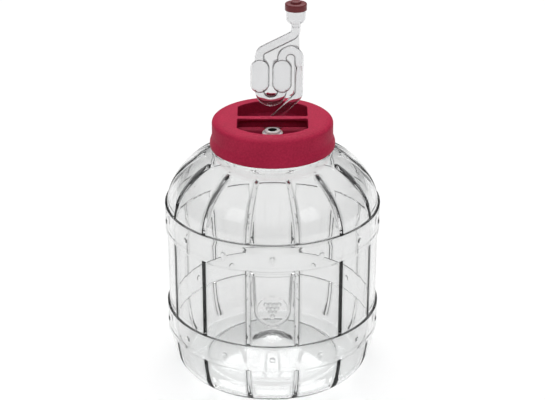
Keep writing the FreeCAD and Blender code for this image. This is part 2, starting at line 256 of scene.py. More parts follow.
def rounded(corners, radii, steps=5):
    """Profile through the corners, with each corner rounded by its own radius (0 keeps it sharp)."""
    count = len(corners)
    closed = corners[0][0] > 0
    out = []
    for i, (corner, radius) in enumerate(zip(corners, radii)):
        here = np.array(corner, float)
        if radius == 0 or (not closed and i in (0, count - 1)):
            out.append(tuple(here))
            continue
        to_before = np.array(corners[i - 1], float) - here
        to_after = np.array(corners[(i + 1) % count], float) - here
        to_before /= np.linalg.norm(to_before)
        to_after /= np.linalg.norm(to_after)
        half = math.acos(np.clip(to_before @ to_after, -1, 1)) / 2
        setback = radius / math.tan(half)
        middle = to_before + to_after
        centre = here + middle / np.linalg.norm(middle) * radius / math.sin(half)
        start = here + to_before * setback - centre
        end = here + to_after * setback - centre
        sweep = math.acos(np.clip(start @ end / radius ** 2, -1, 1))
        for s in np.linspace(0, 1, steps + 1):
            w = (math.sin((1 - s) * sweep) * start + math.sin(s * sweep) * end) / math.sin(sweep)
            out.append(tuple(centre + w))
    return out


def prism(name, outline, low, high):
    """Closed prism on a plan outline of (x, y) points."""
    count = len(outline)
    verts = [(x, y, low) for x, y in outline] + [(x, y, high) for x, y in outline]
    faces = [tuple(reversed(range(count))), tuple(range(count, 2 * count))]
    for j in range(count):
        k = (j + 1) % count
        faces.append((j, k, count + k, count + j))
    return mesh_object(name, verts, faces)


def evaluated(obj):
    """Applies obj's modifiers."""
    graph = bpy.context.evaluated_depsgraph_get()
    mesh = bpy.data.meshes.new_from_object(obj.evaluated_get(graph))
    obj.modifiers.clear()
    old = obj.data
    obj.data = mesh
    bpy.data.meshes.remove(old)
    mesh.shade_smooth()
    return obj


def combine(base, others, operation):
    """Exact boolean of base with every other object, which are used up."""
    for other in others:
        modifier = base.modifiers.new(operation.lower(), "BOOLEAN")
        modifier.operation = operation
        modifier.solver = "EXACT"
        modifier.object = other
        evaluated(base)
        bpy.data.objects.remove(other)
    return base


def soften(obj, voxel, rounds, factor=0.5):
    """Even remesh followed by smoothing, which eases every edge as a mould does."""
    remesh = obj.modifiers.new("even", "REMESH")
    remesh.mode = "VOXEL"
    remesh.voxel_size = voxel * MM
    smooth = obj.modifiers.new("ease", "SMOOTH")
    smooth.factor = factor
    smooth.iterations = rounds
    return evaluated(obj)


# ---------------------------------------------------------------- materials

def new_material(name):
    """Material with its Principled shader: returns material, nodes, links and the shader."""
    material = bpy.data.materials.new(name)
    material.use_nodes = True
    nodes = material.node_tree.nodes
    shader = nodes["Principled BSDF"]
    return material, nodes, material.node_tree.links, shader


def noise_node(nodes, links, scale, detail, stretch=(1, 1, 1)):
    """Noise in the piece's own coordinates, with its scale per metre."""
    coords = nodes.new("ShaderNodeTexCoord")
    mapping = nodes.new("ShaderNodeMapping")
    mapping.inputs["Scale"].default_value = stretch
    links.new(coords.outputs["Object"], mapping.inputs["Vector"])
    noise = nodes.new("ShaderNodeTexNoise")
    noise.inputs["Scale"].default_value = scale
    noise.inputs["Detail"].default_value = detail
    links.new(mapping.outputs["Vector"], noise.inputs["Vector"])
    return noise


def ramp_node(nodes, links, source, stops):
    """Colour ramp on a value."""
    ramp = nodes.new("ShaderNodeValToRGB")
    elements = ramp.color_ramp.elements
    while len(elements) < len(stops):
        elements.new(0.5)
    for element, (position, colour) in zip(elements, stops):
        element.position = position
        element.color = (*colour, 1)
    links.new(source, ramp.inputs["Fac"])
    return ramp


def bump_node(nodes, links, height, distance, strength):
    """Bump from a height value; distance is in millimetres."""
    bump = nodes.new("ShaderNodeBump")
    bump.inputs["Distance"].default_value = distance * MM
    bump.inputs["Strength"].default_value = strength
    links.new(height, bump.inputs["Height"])
    return bump


def value_range(nodes, links, source, low, high):
    """Maps a 0 to 1 value to a range."""
    spread = nodes.new("ShaderNodeMapRange")
    spread.inputs["To Min"].default_value = low
    spread.inputs["To Max"].default_value = high
    links.new(source, spread.inputs["Value"])
    return spread.outputs["Result"]


def clear_material(name, tint_a, tint_b, ior, roughness, wave, wave_strength, shadow, density,
                   pale_below=None, lines=None):
    """Clear glass or plastic with a faint flow in its tint and surface.

    Lamps shine through it by the shadow colour. pale_below gives the heights between which its foot turns to
    the pale tint, and lines names the mesh attribute that paints shade into its colour along its edges.
    """
    material, nodes, links, shader = new_material(name)
    shader.inputs["Transmission Weight"].default_value = 1.0
    shader.inputs["IOR"].default_value = ior
    flow = noise_node(nodes, links, wave, 3.0, (1, 1, 0.35))
    tint = ramp_node(nodes, links, flow.outputs["Fac"], [(0.3, tint_a), (0.7, tint_b)])
    colour = tint.outputs["Color"]
    if pale_below:
        coords = nodes.new("ShaderNodeTexCoord")
        parts = nodes.new("ShaderNodeSeparateXYZ")
        links.new(coords.outputs["Object"], parts.inputs["Vector"])
        height = nodes.new("ShaderNodeMapRange")
        height.inputs["From Min"].default_value = pale_below[0] * MM
        height.inputs["From Max"].default_value = pale_below[1] * MM
        links.new(parts.outputs["Z"], height.inputs["Value"])
        blend = nodes.new("ShaderNodeMix")
        blend.data_type = "RGBA"
        blend.inputs["A"].default_value = PALE_TINT
        links.new(height.outputs["Result"], blend.inputs["Factor"])
        links.new(colour, blend.inputs["B"])
        colour = blend.outputs["Result"]
    # Painted shade: darkens the colour along the relief's edges, standing in for the dark lines of refraction
    if lines:
        edges = nodes.new("ShaderNodeAttribute")
        edges.attribute_name = lines
        dark = nodes.new("ShaderNodeMix")
        dark.data_type = "RGBA"
        links.new(edges.outputs["Fac"], dark.inputs["Factor"])
        links.new(colour, dark.inputs["A"])
        dark.inputs["B"].default_value = PAINTED_EDGE_SHADE
        colour = dark.outputs["Result"]
    links.new(colour, shader.inputs["Base Color"])
    rough = value_range(nodes, links, flow.outputs["Fac"], *roughness)
    links.new(rough, shader.inputs["Roughness"])
    bump = bump_node(nodes, links, flow.outputs["Fac"], 1.0, wave_strength)
    links.new(bump.outputs["Normal"], shader.inputs["Normal"])
    path = nodes.new("ShaderNodeLightPath")
    through = nodes.new("ShaderNodeBsdfTransparent")
    through.inputs["Color"].default_value = (*shadow, 1)
    mix = nodes.new("ShaderNodeMixShader")
    links.new(path.outputs["Is Shadow Ray"], mix.inputs["Fac"])
    links.new(shader.outputs["BSDF"], mix.inputs[1])
    links.new(through.outputs["BSDF"], mix.inputs[2])
    links.new(mix.outputs["Shader"], nodes["Material Output"].inputs["Surface"])
    absorb = nodes.new("ShaderNodeVolumeAbsorption")
    absorb.inputs["Color"].default_value = ABSORPTION_COLOUR
    absorb.inputs["Density"].default_value = density
    links.new(absorb.outputs["Volume"], nodes["Material Output"].inputs["Volume"])
    return material


def moulded_material(name, dark, light, rough, grain_scale, grain_mm, coat=0.0, subsurface=0.0, gloss=0.22):
    """Moulded plastic or rubber: slow colour drift, uneven gloss and a fine spark-eroded grain."""
    material, nodes, links, shader = new_material(name)
    drift = noise_node(nodes, links, 38.0, 4.0)
    grain = noise_node(nodes, links, grain_scale, 2.0)
    speckle = noise_node(nodes, links, 550.0, 1.0)
    both = nodes.new("ShaderNodeMath")
    both.operation = "ADD"
    both.use_clamp = True
    links.new(value_range(nodes, links, drift.outputs["Fac"], -0.1, 0.5), both.inputs[0])
    links.new(value_range(nodes, links, speckle.outputs["Fac"], -0.2, 0.8), both.inputs[1])
    colour = ramp_node(nodes, links, both.outputs["Value"], [(0.2, dark), (0.8, light)])
    links.new(colour.outputs["Color"], shader.inputs["Base Color"])
    shader.inputs["Specular IOR Level"].default_value = gloss
    roughness = value_range(nodes, links, drift.outputs["Fac"], rough - 0.05, rough + 0.07)
    links.new(roughness, shader.inputs["Roughness"])
    bump = bump_node(nodes, links, grain.outputs["Fac"], grain_mm, 0.6)
    links.new(bump.outputs["Normal"], shader.inputs["Normal"])
    shader.inputs["Coat Weight"].default_value = coat
    shader.inputs["Coat Roughness"].default_value = 0.25
    shader.inputs["Subsurface Weight"].default_value = subsurface
    shader.inputs["Subsurface Scale"].default_value = 1.5 * MM
    return material


# ---------------------------------------------------------------- jar

def smooth_step(value, low, high):
    """0 below low, 1 above high, smooth between."""
    t = np.clip((value - low) / (high - low), 0, 1)
    return t * t * (3 - 2 * t)


def span(start, end, step):
    """Even values from start up to, and without, end."""
    count = max(1, round((end - start) / step))
    return list(np.linspace(start, end, count, endpoint=False))


def stave_columns():
    """Angles of the jar's mesh columns: close at the grooves and rivets, and over the front panel.

    The lists hold distances in millimetres, from a groove's middle in edge and from a stave's middle otherwise.
    """
    half = math.pi * BODY_R / STAVES
    edge = [half - g for g in (0.0, 0.1, 0.3, 1.2, 2.0, 2.12, 2.18, 2.36, 2.44, 2.7)]
    rivet = [0.0, 0.9, 1.7, 2.4, 2.9, 3.4]
    plain = rivet + [6.5, 10.5, 14.5, 18.5] + edge[::-1]
    moat = list(np.arange(SHIELD_HALF - 4.5, SHIELD_TOP_HALF + 0.8, 0.45))
    front = list(np.arange(0, moat[0] - 0.3, 0.62)) + moat + edge[::-1]
    angles = []
    for i in range(STAVES):
        offsets = front if i == 0 else plain
        both = sorted({round(s * o, 4) for o in offsets for s in (-1, 1)})[:-1]
        angles += [(i * 2 * math.pi / STAVES) + o / BODY_R for o in both]
    return np.array(angles)


def hoop_rows(low, high):
    """Heights of the mesh rows over one hoop."""
    middle = (low + high) / 2
    edge = [-0.6, -0.35, -0.12, 0.12, 0.35, 0.6, 0.9]
    rivet = [-3.3, -2.7, -2.0, -1.2, 0.0, 1.2, 2.0, 2.7, 3.3]
    return ([low + e for e in edge] + span(low + 2.5, middle - 4, 4.0) + [middle + r for r in rivet]
            + span(middle + 6, high - 1.5, 4.0) + [high - e for e in edge[::-1]])


def outer_rows():
    """Rows of the jar's outer surface from foot to neck: radius, height and normal."""
    base = [0.0, 0.25, 0.9, 1.9, 3.2, 4.6, 5.6, 6.6, 7.8, 9.4, 11.5] + span(14, HOOPS[0][0] - 1, 3.4)
    heights = base + hoop_rows(*HOOPS[0])
    heights += span(HOOPS[0][1] + 1.5, SHIELD_ROUND_Z - SHIELD_HALF - 1.5, 3.4)
    berries = BERRY_R * (len(BERRY_ROWS) + 1)
    heights += span(SHIELD_ROUND_Z - SHIELD_HALF - 1.5, SHIELD_ROUND_Z - berries, 1.0)
    heights += span(SHIELD_ROUND_Z - berries, SHIELD_ROUND_Z + berries, 0.62)
    heights += span(SHIELD_ROUND_Z + berries, SHIELD_TOP_Z - 1.2, 2.4)
    heights += span(SHIELD_TOP_Z - 1.2, SHIELD_TOP_Z + 1.5, 0.4)
    heights += span(SHIELD_TOP_Z + 1.5, HOOPS[1][0] - 1, 2.0)
    heights += hoop_rows(*HOOPS[1])
    rows = []
    for z in heights:
        if z < BASE_TOP:
            a = -math.asin(np.clip((BASE_TOP - z) / BASE_TOP, -1, 1))
            rows.append(ellipse_row(FOOT_OUTER_R, BASE_TOP, BODY_R - FOOT_OUTER_R, BASE_TOP, a))
        elif z < SHOULDER_Z:
            rows.append((BODY_R, z, 1.0, 0.0))
        else:
            a = math.asin((z - SHOULDER_Z) / SHOULDER_RISE)
            rows.append(ellipse_row(SHOULDER_R, SHOULDER_Z, BODY_R - SHOULDER_R, SHOULDER_RISE, a))
    start = math.asin((HOOPS[1][1] + 1.5 - SHOULDER_Z) / SHOULDER_RISE)
    end = math.acos((NECK_R + 2.5 - SHOULDER_R) / (BODY_R - SHOULDER_R))
    groove_end = math.acos((GROOVE_TOP_R + 3 - SHOULDER_R) / (BODY_R - SHOULDER_R))
    shoulder = list(np.linspace(start, groove_end, 22, endpoint=False)) + list(np.linspace(groove_end, end, 10))
    for a in shoulder:
        rows.append(ellipse_row(SHOULDER_R, SHOULDER_Z, BODY_R - SHOULDER_R, SHOULDER_RISE, a))
    root = rows[-1]
    rows.append((NECK_R + 0.7, root[1] + 1.1, 0.8, 0.6))
    rows.append((NECK_R, root[1] + 3.0, 1.0, 0.0))
    for z in span(root[1] + 5.0, RIM_Z - RIM_ROUND - 1, 0.85):
        rows.append((NECK_R, z, 1.0, 0.0))
    return rows


def ellipse_row(centre_r, centre_z, semi_r, semi_z, angle):
    """Radius, height and unit normal at an angle on an upright ellipse."""
    normal = np.array([math.cos(angle) / semi_r, math.sin(angle) / semi_z])
    normal /= np.linalg.norm(normal)
    return (centre_r + semi_r * math.cos(angle), centre_z + semi_z * math.sin(angle), *normal)


def stave_place(angle, r):
    """Distance from the nearest groove, place across the stave, and whether the stave is the front one."""
    pitch = 2 * math.pi / STAVES
    in_stave = (angle + pitch / 2) % pitch - pitch / 2
    front = np.abs((angle + math.pi) % (2 * math.pi) - math.pi) < pitch / 2
    return (pitch / 2 - np.abs(in_stave)) * r, in_stave * r, front


def shield_place(x, z):
    """Half width of the shield, depth inside its outline, and distance from the medallion's middle."""
    from_badge = np.sqrt(x ** 2 + (z - SHIELD_ROUND_Z) ** 2)
    taper = (z - SHIELD_ROUND_Z) / (SHIELD_TOP_Z - SHIELD_ROUND_Z)
    side = SHIELD_HALF + (SHIELD_TOP_HALF - SHIELD_HALF) * np.clip(taper, 0, 1)
    inside = np.where(z > SHIELD_ROUND_Z, side - np.abs(x), SHIELD_HALF - from_badge)
    return side, np.minimum(inside, SHIELD_TOP_Z - z), from_badge


def berry_middles():
    """Places (x, z) of the berries, row by row from the top."""
    pitch = 2 * BERRY_R
    top = SHIELD_ROUND_Z + pitch * (len(BERRY_ROWS) - 1) / 2
    return [((k - (count - 1) / 2) * pitch, top - row * pitch)
            for row, count in enumerate(BERRY_ROWS) for k in range(count)]


def rise_of_surface(angle, r, z):
    """How far the moulded relief stands out of (or sinks below, if negative) the plain outer surface."""
    from_groove, from_middle, front = stave_place(angle, r)
    along = smooth_step(z, GROOVE_LOW_Z - 1.5, GROOVE_LOW_Z + 1.5)
    along = along * np.where(z > SHOULDER_Z, smooth_step(r, GROOVE_TOP_R - 1.5, GROOVE_TOP_R + 1.5), 1.0)
    half = GROOVE_W / 2
    section = np.interp(
        from_groove, [0, 0.1, half - GROOVE_LIP_W, half], [GROOVE_D, GROOVE_D, GROOVE_LIP, 0])
    groove = section * along
    hoops = np.zeros_like(groove)
    rivets = np.zeros_like(groove)
    for low, high in HOOPS:
        hoops += smooth_step(z, low - HOOP_SOFT / 2, low + HOOP_SOFT / 2) * smooth_step(
            -z, -high - HOOP_SOFT / 2, -high + HOOP_SOFT / 2)
        away = (from_middle ** 2 + (z - (low + high) / 2) ** 2) / RIVET_R ** 2
        rivets += RIVET_RISE * np.sqrt(np.clip(1 - away, 0, 1))
    relief = HOOP_RISE * hoops + rivets - groove * (1 - hoops)
    return relief + np.where(front, shield_rise(from_middle, z), 0.0)


def shield_rise(x, z):
    """Relief of the front shield, its medallion and the bunch of berries."""
    side, inside, from_badge = shield_place(x, z)
    rise = -SHIELD_D * smooth_step(inside, -0.25, 0.25)
    moat = np.clip(1 - np.abs(side - np.abs(x) - MOAT_W / 2) / (MOAT_W / 2), 0, 1)
    rise = rise - MOAT_D * moat * smooth_step(z, SHIELD_ROUND_Z - 5, SHIELD_ROUND_Z + 12) * (inside > 0)
    rise = rise + MEDALLION_RISE * smooth_step(-from_badge, -MEDALLION_R - 0.5, -MEDALLION_R + 0.5)
    for middle_x, middle_z in berry_middles():
        away = (x - middle_x) ** 2 + (z - middle_z) ** 2
        rise = rise + BERRY_RISE * np.sqrt(np.clip(1 - away / BERRY_R ** 2, 0, 1))
    return rise


def line_shade(distance, look):
    """Shade of a line: its full strength on the line, falling smoothly to 0 on both sides."""
    strength, width = look
    return strength * np.exp(-(distance / width) ** 2)


def painted_edge_shade(angle, r, z):
    """How strongly shade is painted into the glass along the steps and lips of the relief, from 0 to 1."""
    from_groove, x, front = stave_place(angle, r)
    on_hoop = np.zeros_like(r)
    shade = np.zeros_like(r)
    for low, high in HOOPS:
        on_hoop = np.maximum(on_hoop, (z > low) & (z < high))
        shade = np.maximum(shade, line_shade(z - high, HOOP_TOP_SHADE))
        shade = np.maximum(shade, line_shade(z - low, HOOP_LOW_SHADE))
        up = z - (low + high) / 2
        rim = line_shade(np.sqrt(x ** 2 + up ** 2) - 0.85 * RIVET_R, RIVET_SHADE)
        shade = np.maximum(shade, rim * smooth_step(up, -1.2, 1.2))
    along = smooth_step(z, GROOVE_LOW_Z - 1.5, GROOVE_LOW_Z + 1.5)
    along = along * np.where(z > SHOULDER_Z, smooth_step(r, GROOVE_TOP_R - 2.5, GROOVE_TOP_R - 1.0), 1.0)
    lips = line_shade(from_groove - GROOVE_W / 2 + 0.15, GROOVE_SHADE)
    shade = np.maximum(shade, lips * along * (1 - on_hoop))
    return np.maximum(shade, np.where(front, shield_shade(x, z), 0.0))


def shield_shade(x, z):
    """Painted shade along the lines of the shield, its medallion and the berries."""
    side, inside, from_badge = shield_place(x, z)
    shade = line_shade(inside, SHIELD_SHADE)
    upright = smooth_step(z, SHIELD_ROUND_Z - 4, SHIELD_ROUND_Z + 14) * (z < SHIELD_TOP_Z)
    shade = np.maximum(shade, upright * line_shade(side - np.abs(x) - MOAT_W / 2, MOAT_SHADE))
    shade = np.maximum(shade, line_shade(from_badge - MEDALLION_R, MEDALLION_SHADE))
    for middle_x, middle_z in berry_middles():
        up = z - middle_z
        rim = line_shade(np.sqrt((x - middle_x) ** 2 + up ** 2) - 0.86 * BERRY_R, BERRY_SHADE)
        shade = np.maximum(shade, rim * smooth_step(up, -3.2, 1.0))
    return shade


def thread_rise(angle, z):
    """Relief of the neck's screw ridge, which runs once round with tapered ends."""
    rise = np.zeros(np.broadcast(angle, z).shape)
    for turn in (0, 1):
        along = (angle - math.pi / 2) % (2 * math.pi) / (2 * math.pi) + turn
        height = THREAD_Z + LEAD * along
        ends = smooth_step(along, 0, 0.03) * smooth_step(-along, -THREAD_TURNS, -THREAD_TURNS + 0.03)
        ridge = smooth_step(-np.abs(z - height), -THREAD_HALF, -THREAD_HALF + 0.8)
        rise = np.maximum(rise, THREAD_D * ridge * ends)
    return rise


def punt_height(r):
    """Height of the jar's underside at a radius, as a smooth curve through PUNT_CURVE."""
    radii = [p[0] for p in PUNT_CURVE][::-1]
    heights = [p[1] for p in PUNT_CURVE][::-1]
    offsets = np.linspace(-2.5, 2.5, 11)
    return float(np.mean([np.interp(abs(r + d), radii, heights) for d in offsets]))


PUNT_RADII = (1.0, 3.0, 5.0, 7.0, 9.0, 11.0, 13.0, 15.5, 18.0, 20.0, 22.0, 24.0, 27.0, 32.0, 38.0, 44.0,
              50.0, 56.0, 60.0, 62.0, 63.5, 65.0, 66.5, 68.0, 69.5, 71.0, 72.5, 74.0)


def bottom_rows():
    """Rows under the jar, from the middle of the punt out to the foot."""
    return [(r, punt_height(r)) for r in PUNT_RADII] + [(78.0, 0.0), (83.0, 0.0), (88.5, 0.0)]


def inner_rows():
    """Rows of the rim and of the inner surface, from the rim down to the middle of the floor."""
    mouth = NECK_R - WALL
    rows = [(NECK_R, RIM_Z - RIM_ROUND)]
    for a in (22.5, 45, 67.5, 90):
        t = math.radians(a)
        rows.append((NECK_R - RIM_ROUND * (1 - math.cos(t)), RIM_Z - RIM_ROUND * (1 - math.sin(t))))
    rows += [(mouth + 1.2, RIM_Z), (mouth + 0.35, RIM_Z - 0.3), (mouth, RIM_Z - 1.2)]
    end = math.acos((mouth - SHOULDER_R) / (BODY_R - WALL - SHOULDER_R))
    top = SHOULDER_Z + (SHOULDER_RISE - WALL) * math.sin(end)
    rows += [(mouth, z) for z in np.linspace(RIM_Z - 4, top + 2.5, 5)]
    for a in np.linspace(end - 0.02, 0, 30):
        rows.append((SHOULDER_R + (BODY_R - WALL - SHOULDER_R) * math.cos(a),
                     SHOULDER_Z + (SHOULDER_RISE - WALL) * math.sin(a)))
    rows += [(BODY_R - WALL, z) for z in np.linspace(SHOULDER_Z - 10, BASE_TOP + 8, 9)]
    for a in np.linspace(0, -math.pi / 2, 30):
        rows.append((FOOT_OUTER_R + (BODY_R - WALL - FOOT_OUTER_R) * math.cos(a),
                     BASE_TOP + (BASE_TOP - FLOOR_THICK) * math.sin(a)))
    rows += [(85.0, FLOOR_THICK), (80.0, FLOOR_THICK)]
    rows += [(r, FLOOR_THICK + punt_height(r)) for r in PUNT_RADII[::-1]]
    return rows


def whole_rows(values, angles):
    """Repeats one value a row for every column of the jar's mesh."""
    return np.repeat(values, len(angles), 1)


def make_jar():
    """The glass jar as one closed mesh: relief outside, smooth inside."""
    angles = stave_columns()
    outer = np.array(outer_rows())
    angle, r = np.meshgrid(angles, outer[:, 0])
    z = whole_rows(outer[:, 1:2], angles)
    rise = rise_of_surface(angle, r, z) + np.where(z > THREAD_Z - 4, thread_rise(angle, z), 0.0)
    r_out = r + rise * outer[:, 2:3]
    z_out = z + rise * outer[:, 3:4]
    under = np.array(bottom_rows())
    inner = np.array(inner_rows())
    all_r = np.concatenate([whole_rows(under[:, :1], angles), r_out, whole_rows(inner[:, :1], angles)])
    all_z = np.concatenate([whole_rows(under[:, 1:], angles), z_out, whole_rows(inner[:, 1:], angles)])
    all_angle = np.repeat(angles[None, :], len(all_r), 0)
    verts = np.stack([all_r * np.sin(all_angle), -all_r * np.cos(all_angle), all_z], -1).reshape(-1, 3)
    rows, columns = all_r.shape
    faces = grid_faces(rows, columns)
    verts = np.concatenate([verts, [(0, 0, punt_height(0)), (0, 0, FLOOR_THICK + punt_height(0))]])
    last = (rows - 1) * columns
    for j in range(columns):
        k = (j + 1) % columns
        faces.append((rows * columns, k, j))
        faces.append((rows * columns + 1, last + j, last + k))
    # Painted shade along the relief's edges, kept as a mesh attribute that the glass material mixes into its
    # colour
    shade = np.zeros(len(verts))
    first = len(under) * columns
    shade[first:first + outer.shape[0] * columns] = painted_edge_shade(angle, r, z).reshape(-1)
    jar = mesh_object("jar", verts, faces)
    jar.data.attributes.new("painted_edge_shade", "FLOAT", "POINT").data.foreach_set("value", shade)
    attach(jar, "jar")
    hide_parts("glass_jar")
    jar.data.materials.append(clear_material(
        "clear_glass", (0.87, 0.873, 0.872), (0.90, 0.903, 0.902), GLASS_IOR, (0.0, 0.012), 22.0, 0.02,
        (0.97, 0.975, 0.975), GLASS_DENSITY, PALE_FROM_TO_Z, "painted_edge_shade"))
    return jar


# ---------------------------------------------------------------- lid

def recess_plan(grow, steps=24):
    """Plan points of the lid recess: two straight sides, and bowed front and back."""
    radius = RECESS_R + grow
    reach = math.asin((RECESS_HALF_X + grow) / radius)
    back = [(radius * math.sin(a), radius * math.cos(a)) for a in np.linspace(reach, -reach, steps)]
    return back + [(-x, -y) for x, y in back]


def bar_solid():
    """Finger bar across the recess: bowed forward in plan, thinner in the middle."""
    end_x = RECESS_HALF_X + RECESS_WALL / 2
    steps = 33
    verts = []
    for x in np.linspace(-end_x, end_x, steps):
        bow = 1 - (x / end_x) ** 2
        front = BAR_END_FRONT_Y + (BAR_MID_FRONT_Y - BAR_END_FRONT_Y) * bow
        low = LID_TOP - BAR_END_THICK + (BAR_END_THICK - BAR_MID_THICK) * bow
        verts += [(x, front, low), (x, BAR_BACK_Y, low), (x, BAR_BACK_Y, LID_TOP), (x, front, LID_TOP)]
    faces = [(0, 3, 2, 1), tuple(4 * (steps - 1) + i for i in range(4))]
    for i in range(steps - 1):
        for k in range(4):
            m = (k + 1) % 4
            faces.append((4 * i + k, 4 * i + m, 4 * i + 4 + m, 4 * i + 4 + k))
    return mesh_object("bar", verts, faces)


def lid_thread():
    """Inner screw ridge of the lid."""
    steps = 140
    verts = []
    for t in np.linspace(0, LID_THREAD_TURNS, steps):
        a = t * 2 * math.pi
        mid = THREAD_Z - LEAD / 2 + LEAD * t
        ends = min(1, 12 * t / LID_THREAD_TURNS, 12 * (1 - t / LID_THREAD_TURNS))
        tip = LID_BORE_R - THREAD_D * ends
        root = LID_BORE_R + 0.6
        for r, z in ((root, mid - 1.1), (root, mid + 1.1), (tip, mid + 0.6), (tip, mid - 0.6)):
            verts.append((r * math.cos(a), r * math.sin(a), z))
    faces = [(0, 1, 2, 3), tuple(4 * (steps - 1) + i for i in (3, 2, 1, 0))]
    for i in range(steps - 1):
        for k in range(4):
            m = (k + 1) % 4
            faces.append((4 * i + m, 4 * i + k, 4 * i + 4 + k, 4 * i + 4 + m))
    return mesh_object("ridge", verts, faces)


def make_lid():
    """The screw lid: turned crown and skirt, recess pocket, finger bar, stopper holes and thread."""
    edge = [(LID_CROWN_R - LID_EDGE_R * (1 - math.sin(a)), LID_TOP - LID_EDGE_Z * (1 - math.cos(a)))
            for a in np.linspace(0, math.pi / 2, 13)]
    lower = rounded(
        [edge[-1], (LID_CROWN_R, LID_STEP_HIGH), (LID_SKIRT_R, LID_STEP_LOW), (LID_SKIRT_R, LID_LOW),
         (LID_SKIRT_BORE_R, LID_LOW), (LID_SKIRT_BORE_R, LID_LOW + 2.4), (LID_BORE_R, LID_LOW + 4.2),
         (LID_BORE_R, LID_TOP - LID_TOP_WALL), (0, LID_TOP - LID_TOP_WALL)],
        [0, 5.0, 4.0, 0.5, 0.3, 0, 0, 0.8, 0])
    profile = [(0, LID_TOP)] + edge[:-1] + lower
    lid = lathe("lid", profile[::-1], segments=256)
    pocket = prism("pocket", recess_plan(RECESS_WALL), RECESS_FLOOR - RECESS_WALL, LID_TOP - 1.0)
    combine(lid, [pocket], "UNION")
    combine(lid, [prism("pocket_space", recess_plan(0), RECESS_FLOOR, LID_TOP + 5)], "DIFFERENCE")
    end_x = RECESS_HALF_X + RECESS_WALL / 2
    web_front, web_back = BAR_WEB_Y
    web = [(-end_x, web_front), (end_x, web_front), (end_x, web_back), (-end_x, web_back)]
    combine(lid, [bar_solid(), prism("bar_web", web, BAR_WEB_LOW, LID_TOP - 1.0), lid_thread()], "UNION")
    hole = [(STOPPER_WAIST_R, RECESS_FLOOR - 6), (STOPPER_WAIST_R, RECESS_FLOOR + 3)]
    ends = [(0, hole[0][1]), *hole, (0, hole[1][1])]
    combine(lid, [lathe("hole", ends, 0, y, 64) for y in (-STOPPER_Y, STOPPER_Y)], "DIFFERENCE")
    soften(lid, 0.82, 3)
    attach(lid, "lid")
    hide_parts("screw_lid")
    lid.data.materials.append(moulded_material(
        "crimson_plastic", (0.35, 0.016, 0.050), (0.48, 0.024, 0.070), 0.55, 1500.0, 0.05, gloss=0.06))
    # Darker copy of the crimson for the recess's walls and floor: painted shade in the pocket
    lid.data.materials.append(moulded_material(
        "recess_painted_shade", (0.22, 0.010, 0.030), (0.32, 0.015, 0.045), 0.6, 1500.0, 0.05, gloss=0.03))
    for face in lid.data.polygons:
        x, y, z = face.center / MM
        in_recess = abs(x) < RECESS_HALF_X + 0.3 and math.hypot(x, y) < RECESS_R + 0.3
        on_bar = z > BAR_WEB_LOW and face.normal.z > 0.5
        if in_recess and RECESS_FLOOR - 1 < z < LID_TOP - 0.4 and not on_bar:
            face.material_index = 1
    return lid


# ---------------------------------------------------------------- small pieces

def make_stopper(name, y, body, node, rubber, bore_shadow_paint):
    """Rubber stopper ring with a waist between flange and lip."""
    plate_low = RECESS_FLOOR - RECESS_WALL
    corners = [
        (STOPPER_BORE_R, plate_low - 3.5), (STOPPER_WAIST_R, plate_low - 3.5),
        (STOPPER_LIP_R, plate_low - 0.1),
        (STOPPER_WAIST_R - 0.15, plate_low - 0.1), (STOPPER_WAIST_R - 0.15, RECESS_FLOOR + 0.1),
        (STOPPER_FLANGE_R, RECESS_FLOOR + 0.1), (STOPPER_FLANGE_R, STOPPER_FLANGE_Z),
        (STOPPER_COLLAR_R, STOPPER_FLANGE_Z), (STOPPER_COLLAR_R, STOPPER_TOP),
        (STOPPER_BORE_R, STOPPER_TOP)]
    ring = lathe(name, rounded(corners, [0.4, 0.4, 0.2, 0, 0, 0.3, 1.0, 0.4, 1.1, 0.5])[::-1], 0, y, 96)
    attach(ring, body)
    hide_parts(node)
    ring.data.materials.append(rubber)
    # The bore's faces take a near-black material: painted shadow inside the hole
    ring.data.materials.append(bore_shadow_paint)
    for face in ring.data.polygons:
        in_bore = math.hypot(face.center.x, face.center.y - y * MM) < (STOPPER_BORE_R + 0.12) * MM
        face.material_index = 1 if in_bore else 0


def make_gasket():
    """Flat sealing ring with eased edges."""
    low = gasket_low.z / MM + 0.02
    high = gasket_high.z / MM - 0.02
    outer = gasket_high.x / MM
    corners = [(51.5, low), (outer, low), (outer, high), (51.5, high)]
    ring = lathe("gasket", rounded(corners, [0.5] * 4, 4)[::-1], segments=192)
    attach(ring, "seal")
    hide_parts("lid_gasket")
    ring.data.materials.append(moulded_material(
        "gasket_rubber", (0.60, 0.58, 0.55), (0.68, 0.66, 0.63), 0.6, 900.0, 0.04))
    return ring


def make_cap():
    """Dust cap with its raised boss."""
    corners = [(0, CAP_BOSS_Z), (CAP_BOSS_R, CAP_BOSS_Z), (CAP_BOSS_R, CAP_TOP), (CAP_R, CAP_TOP),
               (CAP_R, CAP_LOW), (CAP_BORE_R, CAP_LOW), (CAP_BORE_R, CUP_RIM_Z + 0.1), (0, CUP_RIM_Z + 0.1)]
    profile = rounded(corners, [0, 1.1, 0.6, 1.2, 0.2, 0.1, 0.5, 0])
    cap = lathe("dust_cap", profile[::-1], CUP_X, STOPPER_Y, 128)
    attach(cap, "cap")
    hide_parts("airlock_cap")
    cap.data.materials.append(moulded_material(
        "dark_red_plastic", (0.125, 0.017, 0.021), (0.175, 0.025, 0.029), 0.38, 1200.0, 0.03, coat=0.1))
    return cap


# ---------------------------------------------------------------- airlock

